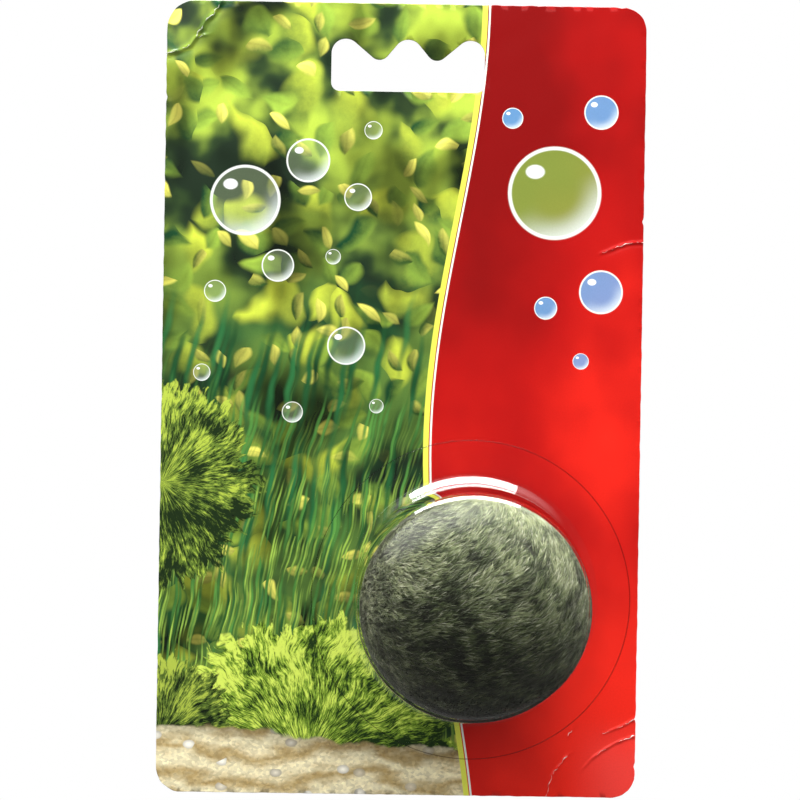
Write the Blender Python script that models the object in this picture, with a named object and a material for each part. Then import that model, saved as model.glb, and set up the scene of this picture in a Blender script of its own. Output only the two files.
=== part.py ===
"""Marimo moss ball in its retail pack: a printed hang card, a clear thermoformed
blister sealed to the front of the card, and one moss ball inside the blister.

Metres, +Z up. The card stands in the XZ plane with its printed front facing -Y.
The origin is the top of the middle hump of the hang slot, halfway through the
card's thickness: the point where a display hook carries the pack.
"""

import math

import bmesh
import bpy
from mathutils import Matrix, Vector

# ---------------------------------------------------------------- dimensions
MM = 0.001

# Backing card
CARD_W = 100.0 * MM
CARD_H = 165.0 * MM
CARD_T = 0.5 * MM
CARD_CORNER_R = 5.0 * MM
CARD_TOP_Z = 7.5 * MM  # the slot's middle hump is 7.5 mm under the top edge
CARD_X = -0.3 * MM  # the slot was punched a little right of the card's middle
CORNER_STEPS = 8

# Three-hump hang slot, measured from the middle of its flat lower edge
SLOT_H = 10.85 * MM
SLOT_HALF_W = 16.0 * MM
SLOT_CORNER_R = 1.7 * MM
SLOT_HUMP_R = 3.0 * MM
SLOT_SIDE_HUMP_X = 13.0 * MM
SLOT_TONGUE_X = 6.0 * MM
SLOT_TONGUE_R = 2.2 * MM
SLOT_TONGUE_Z = 6.55 * MM  # tip of each tongue above the lower edge
ARC_STEP = math.radians(15.0)

# Clear blister: a drum with a flat flange, turned about an axis along Y
BLISTER_X = 14.8 * MM
BLISTER_Z = -116.6 * MM
SEAL_GAP = 0.3 * MM  # between the card's front and the back of the flange
BLISTER_WALL = 0.25 * MM
FLANGE_T = 0.3 * MM
FLANGE_R = 33.35 * MM
RIM_R = 25.85 * MM  # where the flange turns up into the wall
WALL_BASE_R = 24.4 * MM
WALL_MID_DROP = 0.3 * MM
WALL_END_DROP = 0.7 * MM
WALL_BASE_H = 2.1 * MM
WALL_END_H = 43.2 * MM
SHOULDER_R = 3.0 * MM
CROWN_RISE = 1.1 * MM
BLISTER_SEGMENTS = 72

# Moss ball, slightly flattened, lying on the lower wall of the blister
BALL_RX = 23.42 * MM
BALL_RY = 22.80 * MM
BALL_RZ = 22.90 * MM
BALL_DROP = 0.5 * MM
BALL_SEGMENTS = 48
BALL_RINGS = 24


# ------------------------------------------------------------------- helpers
def material(name, colour, roughness, transmission=0.0, ior=1.45):
    made = bpy.data.materials.new(name)
    made.use_nodes = True
    shader = made.node_tree.nodes["Principled BSDF"]
    shader.inputs["Base Color"].default_value = (*colour, 1.0)
    shader.inputs["Roughness"].default_value = roughness
    shader.inputs["Metallic"].default_value = 0.0
    shader.inputs["Transmission Weight"].default_value = transmission
    shader.inputs["IOR"].default_value = ior
    return made


def object_of(name, bm, mat, parent, smooth_below=None):
    bmesh.ops.recalc_face_normals(bm, faces=bm.faces)
    mesh = bpy.data.meshes.new(name)
    bm.to_mesh(mesh)
    bm.free()
    if smooth_below is not None:
        mesh.shade_smooth()
        mesh.set_sharp_from_angle(angle=smooth_below)
    mesh.materials.append(mat)
    obj = bpy.data.objects.new(name, mesh)
    bpy.context.scene.collection.objects.link(obj)
    obj.parent = parent
    return obj


def arc(centre, radius, start, end, step):
    """Points of an arc from the angle start to the angle end, both included."""
    count = max(1, math.ceil(abs(end - start) / step - 1e-9))
    return [
        centre
        + Vector((math.cos(start + (end - start) * i / count), math.sin(start + (end - start) * i / count)))
        * radius
        for i in range(count + 1)
    ]


def belt(circles, step):
    """A closed outline that runs around circles joined by their common tangents.

    Each circle is (x, z, radius, turn): turn +1 is passed anticlockwise, with the
    outline's inside towards its centre, and -1 is passed clockwise.
    """
    joins = []
    for i, (x1, z1, r1, s1) in enumerate(circles):
        x2, z2, r2, s2 = circles[(i + 1) % len(circles)]
        d = Vector((x2 - x1, z2 - z1))
        across = s2 * r2 - s1 * r1
        along = math.sqrt(d.length_squared - across * across)
        angle = math.atan2(d.y, d.x) - math.atan2(across, along)
        joins.append(angle)
    points = []
    for i, (x, z, r, s) in enumerate(circles):
        before, after = joins[i - 1], joins[i]
        turn = (after - before) * s
        while turn < 0:
            turn += 2 * math.pi
        while turn >= 2 * math.pi:
            turn -= 2 * math.pi
        # The tangent point lies to the right of the heading on a +1 circle.
        start = before - s * math.pi / 2
        points += arc(Vector((x, z)), r, start, start + s * turn, step)
    return points


def card_outline():
    r = CARD_CORNER_R
    left, right = CARD_X - CARD_W / 2, CARD_X + CARD_W / 2
    low, high = CARD_TOP_Z - CARD_H, CARD_TOP_Z
    corners = [
        (right - r, low + r, -math.pi / 2),
        (right - r, high - r, 0.0),
        (left + r, high - r, math.pi / 2),
        (left + r, low + r, math.pi),
    ]
    points = []
    for x, z, start in corners:
        points += arc(Vector((x, z)), r, start, start + math.pi / 2, math.pi / 2 / CORNER_STEPS)
    return points


def slot_outline():
    """The hang slot: a flat lower edge and three humps with two rounded tongues
    between them. Its middle hump touches the origin."""
    low = -SLOT_H
    hump_z = low + SLOT_H - SLOT_HUMP_R
    tongue_z = low + SLOT_TONGUE_Z + SLOT_TONGUE_R
    right = [
        (SLOT_HALF_W - SLOT_CORNER_R, low + SLOT_CORNER_R, SLOT_CORNER_R, 1),
        (SLOT_SIDE_HUMP_X, hump_z, SLOT_HUMP_R, 1),
        (SLOT_TONGUE_X, tongue_z, SLOT_TONGUE_R, -1),
    ]
    left = [(-x, z, r, s) for x, z, r, s in reversed(right)]
    return belt(right + [(0.0, hump_z, SLOT_HUMP_R, 1)] + left, ARC_STEP)


# --------------------------------------------------------------------- pieces
def make_card(parent):
    """A flat board with rounded corners, punched through by the hang slot."""
    bm = bmesh.new()
    edges = []
    for outline in (card_outline(), slot_outline()):
        ring = [bm.verts.new((p.x, -CARD_T / 2, p.y)) for p in outline]
        edges += [bm.edges.new((a, b)) for a, b in zip(ring, ring[1:] + ring[:1])]
    bmesh.ops.remove_doubles(bm, verts=bm.verts, dist=1e-6)
    front = bmesh.ops.triangle_fill(bm, use_beauty=True, edges=bm.edges[:])["geom"]
    faces = [g for g in front if isinstance(g, bmesh.types.BMFace)]
    sides = bmesh.ops.extrude_face_region(bm, geom=faces, use_keep_orig=True)["geom"]
    bmesh.ops.translate(
        bm,
        verts=[g for g in sides if isinstance(g, bmesh.types.BMVert)],
        vec=(0.0, CARD_T, 0.0),
    )
    board = material("card_board", (0.20, 0.34, 0.10), 0.35)
    return object_of("backing_card", bm, board, parent)


def wall_radius(height):
    """Outer radius of the drum's wall: it draws in gently, more towards the front."""
    t = (height - WALL_BASE_H) / (WALL_END_H - WALL_BASE_H)
    return WALL_BASE_R - WALL_MID_DROP * t - WALL_END_DROP * t * t


def blister_outer():
    """Outer profile as (radius, height), from the flange's edge to the axis."""
    points = [Vector((FLANGE_R, FLANGE_T))]
    # Concave turn from the flange into the wall
    for i in range(6):
        a = math.pi / 2 * i / 5
        points.append(
            Vector(
                (
                    RIM_R - (RIM_R - WALL_BASE_R) * math.sin(a),
                    FLANGE_T + (WALL_BASE_H - FLANGE_T) * (1 - math.cos(a)),
                )
            )
        )
    for i in range(1, 5):
        h = WALL_BASE_H + (WALL_END_H - WALL_BASE_H) * i / 4
        points.append(Vector((wall_radius(h), h)))
    # Convex shoulder into the slightly crowned front
    centre = Vector((wall_radius(WALL_END_H) - SHOULDER_R, WALL_END_H))
    for i in range(1, 6):
        a = math.pi / 2 * i / 5
        points.append(centre + Vector((math.cos(a), math.sin(a))) * SHOULDER_R)
    edge = points[-1]
    for share in (0.66, 0.33, 0.0):
        points.append(Vector((edge.x * share, edge.y + CROWN_RISE * (1 - share * share))))
    return points


def blister_inner(outer):
    """The same profile, one wall thickness in, from the axis out to the flange's back."""
    points = []
    for i, p in enumerate(outer[2:], start=2):
        if i == len(outer) - 1:
            inward = Vector((0.0, -1.0))
        else:
            run = (outer[i + 1] - outer[i - 1]).normalized()
            inward = Vector((run.y, -run.x)) * -1
        points.append(p + inward * BLISTER_WALL)
    points[-1].x = 0.0
    foot = points[0]
    points = [Vector((RIM_R - 0.2 * MM, 0.0)), Vector((foot.x, max(foot.y, 0.12 * MM)))] + points[1:]
    return [Vector((FLANGE_R, 0.0))] + points


def make_blister(parent):
    """The profile spun about the drum's axis, then turned to face -Y."""
    outer = blister_outer()
    inner = blister_inner(outer)
    bm = bmesh.new()
    chain = [bm.verts.new((p.x, 0.0, p.y)) for p in reversed(outer)]
    chain += [bm.verts.new((p.x, 0.0, p.y)) for p in inner]
    edges = [bm.edges.new((a, b)) for a, b in zip(chain, chain[1:])]
    bmesh.ops.spin(
        bm,
        geom=chain + edges,
        cent=(0.0, 0.0, 0.0),
        axis=(0.0, 0.0, 1.0),
        angle=2 * math.pi,
        steps=BLISTER_SEGMENTS,
        use_duplicate=False,
    )
    bmesh.ops.remove_doubles(bm, verts=bm.verts, dist=1e-6)
    # The drum's height runs along +Z so far; turn it to run along -Y.
    bmesh.ops.transform(bm, matrix=Matrix.Rotation(math.pi / 2, 4, "X"), verts=bm.verts)
    clear = material("clear_plastic", (0.97, 0.98, 0.98), 0.03, transmission=1.0, ior=1.5)
    obj = object_of("clear_blister", bm, clear, parent, smooth_below=math.radians(50))
    obj.location = (BLISTER_X, -(CARD_T / 2 + SEAL_GAP), BLISTER_Z)
    return obj


def make_ball(parent):
    """One ball of moss, out to the tips of its threads."""
    bm = bmesh.new()
    bmesh.ops.create_uvsphere(bm, u_segments=BALL_SEGMENTS, v_segments=BALL_RINGS, radius=1.0)
    bmesh.ops.scale(bm, vec=(BALL_RX, BALL_RY, BALL_RZ), verts=bm.verts)
    moss = material("moss", (0.10, 0.13, 0.07), 0.95)
    obj = object_of("moss_ball", bm, moss, parent, smooth_below=math.radians(60))
    obj.location = (
        BLISTER_X,
        -(CARD_T / 2 + SEAL_GAP) - BALL_RY,
        BLISTER_Z - BALL_DROP,
    )
    return obj


def main():
    for obj in list(bpy.data.objects):
        bpy.data.objects.remove(obj, do_unlink=True)
    pack = bpy.data.objects.new("hanging_pack", None)
    bpy.context.scene.collection.objects.link(pack)
    make_card(pack)
    make_blister(pack)
    make_ball(pack)


main()
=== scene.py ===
import math

import bpy
import numpy as np
from mathutils import Matrix, Vector, geometry, kdtree

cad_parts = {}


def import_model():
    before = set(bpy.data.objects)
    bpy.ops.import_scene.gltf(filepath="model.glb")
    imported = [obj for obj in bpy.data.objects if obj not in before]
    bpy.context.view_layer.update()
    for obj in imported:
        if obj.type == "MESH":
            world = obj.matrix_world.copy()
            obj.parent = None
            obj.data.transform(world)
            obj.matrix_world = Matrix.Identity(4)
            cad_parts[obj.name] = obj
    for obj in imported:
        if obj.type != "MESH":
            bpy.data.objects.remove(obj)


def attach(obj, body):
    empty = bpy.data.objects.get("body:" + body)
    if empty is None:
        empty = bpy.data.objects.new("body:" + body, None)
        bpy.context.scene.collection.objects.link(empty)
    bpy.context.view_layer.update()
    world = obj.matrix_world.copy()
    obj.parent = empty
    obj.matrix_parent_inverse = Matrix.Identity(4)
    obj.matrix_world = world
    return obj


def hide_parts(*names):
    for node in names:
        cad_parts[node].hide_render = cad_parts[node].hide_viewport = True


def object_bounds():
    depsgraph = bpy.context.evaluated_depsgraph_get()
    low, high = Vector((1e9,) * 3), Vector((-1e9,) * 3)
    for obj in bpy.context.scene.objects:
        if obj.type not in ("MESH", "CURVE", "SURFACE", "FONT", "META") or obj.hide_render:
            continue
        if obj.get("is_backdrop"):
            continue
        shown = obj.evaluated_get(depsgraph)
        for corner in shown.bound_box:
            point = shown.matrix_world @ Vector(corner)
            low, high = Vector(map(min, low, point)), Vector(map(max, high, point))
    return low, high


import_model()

FILL_SOFT, FILL_GLOSS, KEY = 0.25, 0.05, 19.0


def plain(value):
    if isinstance(value, dict):
        return {k: plain(v) for k, v in value.items()}
    if isinstance(value, (str, bool, int, float)) or value is None:
        return value
    if hasattr(value, "__len__"):
        return [plain(v) for v in value]
    return float(value)


size_at_load = plain(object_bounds())

MM = 0.001
BALL = np.array([14.8, -23.35, -117.1])
BALL_R = np.array([23.42, 22.80, 22.90])
BLISTER_X, BLISTER_Z = 14.8, -116.6
MOSS_R = np.array([23.95, 22.95, 23.25])  # the threads press on the plastic, so they reach a little past the plain ball
CARD_FRONT = -0.25
CARD_BACK = 0.25


# ------------------------------------------------------------------ mesh tools
def make_mesh(name, co, loops, sizes, smooth=True):
    """A mesh from arrays: points in mm, the corners of all faces in a row, and each face's number of corners."""
    mesh = bpy.data.meshes.new(name)
    co = np.ascontiguousarray(np.asarray(co, dtype=np.float64) * MM, dtype=np.float32)
    loops = np.ascontiguousarray(loops, dtype=np.int32)
    sizes = np.ascontiguousarray(sizes, dtype=np.int32)
    mesh.vertices.add(len(co))
    mesh.vertices.foreach_set("co", co.ravel())
    mesh.loops.add(len(loops))
    mesh.loops.foreach_set("vertex_index", loops)
    mesh.polygons.add(len(sizes))
    mesh.polygons.foreach_set("loop_start", np.concatenate([[0], np.cumsum(sizes)[:-1]]).astype(np.int32))
    mesh.update(calc_edges=True)
    if smooth:
        mesh.shade_smooth()
    else:
        mesh.shade_flat()
    return mesh


def add_object(mesh, materials, stands_for=None, ride=True):
    for m in materials:
        mesh.materials.append(m)
    obj = bpy.data.objects.new(mesh.name, mesh)
    bpy.context.scene.collection.objects.link(obj)
    if ride:
        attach(obj, "root")
    if stands_for:
        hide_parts(stands_for)
    return obj


def unit(v):
    return v / np.maximum(np.linalg.norm(v, axis=-1, keepdims=True), 1e-12)


def waves(p, length, count, seed):
    """A smooth random field of about unit spread with features of the given size in mm."""
    rng = np.random.default_rng(seed)
    k = unit(rng.normal(size=(count, p.shape[1]))) * (2 * math.pi / (length * rng.uniform(1.4, 2.8, (count, 1))))
    phase = rng.uniform(0, 2 * math.pi, count)
    out = np.zeros(len(p))
    for i in range(count):
        out += np.cos(p @ k[i] + phase[i])
    return out / math.sqrt(count / 2)


# ---------------------------------------------------------------- shader tools
class Term:
    """A number in a shader tree, used in ordinary arithmetic."""

    def __init__(self, tree, socket):
        self.tree, self.socket = tree, socket

    def op(self, kind, *others, clamp=False):
        node = self.tree.nodes.new("ShaderNodeMath")
        node.operation = kind
        node.use_clamp = clamp
        for i, value in enumerate((self,) + others):
            if isinstance(value, Term):
                self.tree.links.new(value.socket, node.inputs[i])
            else:
                node.inputs[i].default_value = float(value)
        return Term(self.tree, node.outputs[0])

    def const(self, value):
        node = self.tree.nodes.new("ShaderNodeValue")
        node.outputs[0].default_value = float(value)
        return Term(self.tree, node.outputs[0])

    def __add__(self, o): return self.op("ADD", o)
    def __radd__(self, o): return self.op("ADD", o)
    def __sub__(self, o): return self.op("SUBTRACT", o)
    def __rsub__(self, o): return self.const(o).op("SUBTRACT", self)
    def __mul__(self, o): return self.op("MULTIPLY", o)
    def __rmul__(self, o): return self.op("MULTIPLY", o)
    def __truediv__(self, o): return self.op("DIVIDE", o)
    def __rtruediv__(self, o): return self.const(o).op("DIVIDE", self)
    def __neg__(self): return self.op("MULTIPLY", -1.0)
    def pow(self, o): return self.op("POWER", o)
    def sin(self): return self.op("SINE")
    def cos(self): return self.op("COSINE")
    def abs(self): return self.op("ABSOLUTE")
    def sqrt(self): return self.op("SQRT")
    def fract(self): return self.op("FRACT")
    def floor(self): return self.op("FLOOR")
    def atan2(self, o): return self.op("ARCTAN2", o)
    def min(self, o): return self.op("MINIMUM", o)
    def max(self, o): return self.op("MAXIMUM", o)
    def clamp(self): return self.op("ADD", 0.0, clamp=True)

    def step(self, low, high):
        """0 below low and 1 above high, smooth between them; the other way round when low is above high."""
        node = self.tree.nodes.new("ShaderNodeMapRange")
        node.interpolation_type = "SMOOTHSTEP"
        back = not isinstance(low, Term) and not isinstance(high, Term) and low > high
        ends = (high, low) if back else (low, high)
        self.tree.links.new(self.socket, node.inputs[0])
        for i, value in enumerate(ends, start=1):
            if isinstance(value, Term):
                self.tree.links.new(value.socket, node.inputs[i])
            else:
                node.inputs[i].default_value = float(value)
        node.inputs[3].default_value, node.inputs[4].default_value = (1.0, 0.0) if back else (0.0, 1.0)
        return Term(self.tree, node.outputs[0])


class Shader:
    """One material and the few patterns that this scene uses."""

    def __init__(self, name):
        self.mat = bpy.data.materials.new(name)
        self.mat.use_nodes = True
        self.tree = self.mat.node_tree
        self.bsdf = self.tree.nodes["Principled BSDF"]

    def node(self, kind, **props):
        made = self.tree.nodes.new(kind)
        for k, v in props.items():
            setattr(made, k, v)
        return made

    def link(self, a, b):
        self.tree.links.new(a.socket if isinstance(a, Term) else a, b)

    def place(self):
        """Object coordinates in millimetres."""
        coords = self.node("ShaderNodeTexCoord")
        parts = self.node("ShaderNodeSeparateXYZ")
        self.link(coords.outputs["Object"], parts.inputs[0])
        return [Term(self.tree, parts.outputs[i]) * 1000.0 for i in range(3)]

    def vector(self, x, y, z=0.0):
        made = self.node("ShaderNodeCombineXYZ")
        for i, v in enumerate((x, y, z)):
            if isinstance(v, Term):
                self.link(v, made.inputs[i])
            else:
                made.inputs[i].default_value = float(v)
        return made.outputs[0]

    def noise(self, x, y, z=None, detail=2.0, rough=0.5, warp=0.0, colour=False):
        made = self.node("ShaderNodeTexNoise", noise_dimensions="2D" if z is None else "3D")
        self.link(self.vector(x, y, 0.0 if z is None else z), made.inputs["Vector"])
        made.inputs["Scale"].default_value = 1.0
        made.inputs["Detail"].default_value = detail
        made.inputs["Roughness"].default_value = rough
        made.inputs["Distortion"].default_value = warp
        return made.outputs[1] if colour else Term(self.tree, made.outputs[0])

    def cells(self, x, y, feature="F1", randomness=1.0, smoothness=0.3):
        made = self.node("ShaderNodeTexVoronoi", voronoi_dimensions="2D", feature=feature)
        self.link(self.vector(x, y), made.inputs["Vector"])
        made.inputs["Scale"].default_value = 1.0
        made.inputs["Randomness"].default_value = randomness
        if feature == "SMOOTH_F1":
            made.inputs["Smoothness"].default_value = smoothness
        distance = Term(self.tree, made.outputs["Distance"])
        if feature == "DISTANCE_TO_EDGE":
            return distance
        parts = self.node("ShaderNodeSeparateColor")
        self.link(made.outputs["Color"], parts.inputs[0])
        return distance, [Term(self.tree, parts.outputs[i]) for i in range(3)]

    def mix(self, factor, a, b, kind="MIX"):
        made = self.node("ShaderNodeMix", data_type="RGBA", blend_type=kind)
        if isinstance(factor, Term):
            self.link(factor, made.inputs[0])
        else:
            made.inputs[0].default_value = float(factor)
        for value, socket in ((a, made.inputs[6]), (b, made.inputs[7])):
            if isinstance(value, tuple):
                socket.default_value = (*value, 1.0)
            else:
                self.link(value, socket)
        return made.outputs[2]

    def ramp(self, factor, stops):
        made = self.node("ShaderNodeValToRGB")
        ramp = made.color_ramp
        while len(ramp.elements) < len(stops):
            ramp.elements.new(0.5)
        for element, (place, colour) in zip(ramp.elements, stops):
            element.position = place
            element.color = (*colour, 1.0)
        self.link(factor, made.inputs[0])
        return made.outputs[0]

    def scale(self, colour, amount):
        """A colour times a number."""
        grey = self.vector(amount, amount, amount)
        return self.mix(1.0, colour, grey, "MULTIPLY")

    def set(self, **values):
        for name, value in values.items():
            socket = self.bsdf.inputs[name.replace("_", " ")]
            if isinstance(value, tuple):
                socket.default_value = (*value, 1.0)
            elif isinstance(value, (int, float)):
                socket.default_value = float(value)
            else:
                self.link(value, socket)


# ------------------------------------------------------------ the card's shape
def arc(cx, cz, r, start, end, count):
    a = np.linspace(start, end, count + 1)
    return np.stack([cx + r * np.cos(a), cz + r * np.sin(a)], axis=1)


def belt(circles, step):
    """A closed outline around circles (x, z, radius, turn) joined by common tangents."""
    joins = []
    for i, (x1, z1, r1, s1) in enumerate(circles):
        x2, z2, r2, s2 = circles[(i + 1) % len(circles)]
        dx, dz = x2 - x1, z2 - z1
        across = s2 * r2 - s1 * r1
        along = math.sqrt(dx * dx + dz * dz - across * across)
        joins.append(math.atan2(dz, dx) - math.atan2(across, along))
    parts = []
    for i, (x, z, r, s) in enumerate(circles):
        before, after = joins[i - 1], joins[i]
        turn = ((after - before) * s) % (2 * math.pi)
        start = before - s * math.pi / 2
        count = max(2, math.ceil(turn / step))
        parts.append(arc(x, z, r, start, start + s * turn, count))
    return np.concatenate(parts)


def resample(points, spacing):
    """A closed polyline at even spacing."""
    closed = np.vstack([points, points[:1]])
    length = np.concatenate([[0], np.cumsum(np.linalg.norm(np.diff(closed, axis=0), axis=1))])
    at = np.linspace(0, length[-1], int(round(length[-1] / spacing)), endpoint=False)
    return np.stack([np.interp(at, length, closed[:, i]) for i in range(2)], axis=1)


LEFT, RIGHT, LOW, HIGH = -50.3, 49.7, -157.5, 7.5


def card_outline():
    radii = {"br": 5.0, "tr": 5.0, "tl": 6.0, "bl": 5.2}
    parts = [
        arc(RIGHT - radii["br"], LOW + radii["br"], radii["br"], -math.pi / 2, 0, 16),
        arc(RIGHT - radii["tr"], HIGH - radii["tr"], radii["tr"], 0, math.pi / 2, 16),
        arc(LEFT + radii["tl"], HIGH - radii["tl"], radii["tl"], math.pi / 2, math.pi, 16),
        arc(LEFT + radii["bl"], LOW + radii["bl"], radii["bl"], math.pi, 1.5 * math.pi, 16),
    ]
    line = resample(np.concatenate(parts), 0.45)
    # The cut edge is a little uneven, more at the knocked bottom corners and at four small chips.
    normal = outline_normals(line)
    rough = 0.025 * waves(line, 1.6, 14, 3)
    for cx, cz, reach, depth in (
        (47.6, -155.6, 5.0, 0.05), (-48.4, -155.8, 4.0, 0.06),
    ):
        near = np.exp(-((line[:, 0] - cx) ** 2 + (line[:, 1] - cz) ** 2) / reach**2)
        rough -= near * depth * np.abs(waves(line, 0.9, 12, 5))
    for cx, cz, reach, depth in (
        (44.4, 7.5, 0.6, 0.28), (-50.3, -12.8, 0.6, 0.28), (49.7, -150.9, 0.6, 0.30), (49.7, -37.2, 0.5, 0.28),
        (49.6, -141.0, 0.5, 0.25),
    ):
        rough -= depth * np.exp(-((line[:, 0] - cx) ** 2 + (line[:, 1] - cz) ** 2) / reach**2)
    return line + normal * rough[:, None]


def slot_outline():
    low = -10.85
    hump_z, tongue_z = -3.0, low + 6.55 + 2.2
    right = [(16.0 - 1.7, low + 1.7, 1.7, 1), (13.0, hump_z, 3.0, 1), (6.0, tongue_z, 2.2, -1)]
    left = [(-x, z, r, s) for x, z, r, s in reversed(right)]
    return resample(belt(right + [(0.0, hump_z, 3.0, 1)] + left, math.radians(6)), 0.4)


def outline_normals(line):
    """Outward normals of an anticlockwise closed polyline."""
    along = unit(np.roll(line, -1, axis=0) - np.roll(line, 1, axis=0))
    return np.stack([along[:, 1], -along[:, 0]], axis=1)


def inside(points, line):
    """Even-odd test of points against a closed polyline."""
    x, z = points[:, 0], points[:, 1]
    out = np.zeros(len(points), bool)
    a, b = line, np.roll(line, -1, axis=0)
    for (x1, z1), (x2, z2) in zip(a, b):
        if z1 == z2:
            continue
        crosses = (z1 > z) != (z2 > z)
        out ^= crosses & (x < (x2 - x1) * (z - z1) / (z2 - z1) + x1)
    return out


def to_line(points, line):
    """Distance to an open polyline, its sign (positive on the line's left) and the share of its length at the nearest point."""
    line = np.asarray(line, float)
    best = np.full(len(points), 1e9)
    sign = np.ones(len(points))
    share = np.zeros(len(points))
    seg = np.linalg.norm(np.diff(line, axis=0), axis=1)
    total, start = seg.sum(), 0.0
    for i in range(len(line) - 1):
        a, d = line[i], line[i + 1] - line[i]
        rel = points - a
        t = np.clip((rel @ d) / (d @ d), 0, 1)
        off = rel - t[:, None] * d
        dist = np.linalg.norm(off, axis=1)
        side = np.sign(d[0] * rel[:, 1] - d[1] * rel[:, 0])
        take = dist < best
        best[take], sign[take], share[take] = dist[take], side[take], (start + t[take] * seg[i]) / total
        start += seg[i]
    return best, sign, share


# Folds and creases (x, z). Each has a ridge height, a half width and the share of the ridge kept at its far end; beyond
# the top left fold the board bends backwards, beyond the bottom right bend it comes forwards.
TL_FOLD = [(-38.6, 8.4), (-39.2, 7.2), (-40.8, 4.6), (-42.3, 3.4), (-43.5, 1.3), (-44.5, -0.4), (-45.5, -1.9), (-47.6, -3.0), (-50.1, -3.6), (-51.5, -4.0)]
TL_SPUR = [(-44.2, -0.2), (-43.2, 0.1), (-41.4, 0.5)]
RIGHT_FOLD = [(50.2, -41.4), (46.9, -41.6), (44.8, -42.3), (42.1, -43.4), (40.0, -44.2)]
BR_UPPER = [(50.0, -140.7), (49.2, -141.2), (46.5, -142.7), (42.3, -144.4)]
BR_FOLD = [(50.4, -144.2), (48.8, -144.8), (45.5, -146.1), (43.0, -147.6), (40.3, -149.7), (38.3, -152.2)]
BR_SHORT = [(36.4, -143.3), (35.2, -145.6)]
BR_LOW = [(35.5, -148.7), (34.0, -150.8), (32.4, -152.9), (31.8, -155.0), (31.2, -157.9)]
BR_BEND = [(52.0, -143.6), (48.8, -144.8), (43.0, -147.6), (38.3, -152.2), (36.0, -159.0)]
CREASES = [
    (TL_FOLD, 0.26, 0.42, 1.0), (TL_SPUR, 0.16, 0.32, 0.0), (RIGHT_FOLD, 0.12, 0.28, 0.0), (BR_UPPER, 0.09, 0.28, 0.0),
    (BR_FOLD, 0.11, 0.28, 0.2), (BR_SHORT, 0.07, 0.26, 0.0), (BR_LOW, 0.10, 0.28, 0.4),
]


def bend(points):
    """How far the card's surface leaves its plane at each (x, z): minus is towards the front."""
    x, z = points[:, 0], points[:, 1]
    out = 0.10 * np.sin((z + 30) / 62) + 0.07 * np.sin((x + 12) / 31)
    from_flange = np.hypot(x - BLISTER_X, z - BLISTER_Z) - 33.5
    out *= np.clip(from_flange / 25, 0, 1) ** 2
    for line, height, half, end_keep in CREASES:
        dist, sign, share = to_line(points, line)
        fade = np.clip((1 - share) / 0.3, 0, 1) * (1 - end_keep) + end_keep
        wobble = 1 + 0.35 * np.sin(share * 31 + height * 50)
        # a raised fold with a shallow valley at one side
        out -= height * fade * wobble * np.exp(-((dist / half) ** 2))
        side = sign * dist
        out += 0.45 * height * fade * np.exp(-(((side - 1.9 * half) / (1.3 * half)) ** 2))
    dist, sign, _ = to_line(points, TL_FOLD)
    out += np.where(sign < 0, 0.050 * np.minimum(dist, 12), 0)
    dist, sign, _ = to_line(points, BR_BEND)
    out -= np.where(sign > 0, 0.030 * np.minimum(dist, 16), 0)
    # The board's own faint unevenness
    out += 0.006 * waves(points, 4.0, 16, 21)
    return out


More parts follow.
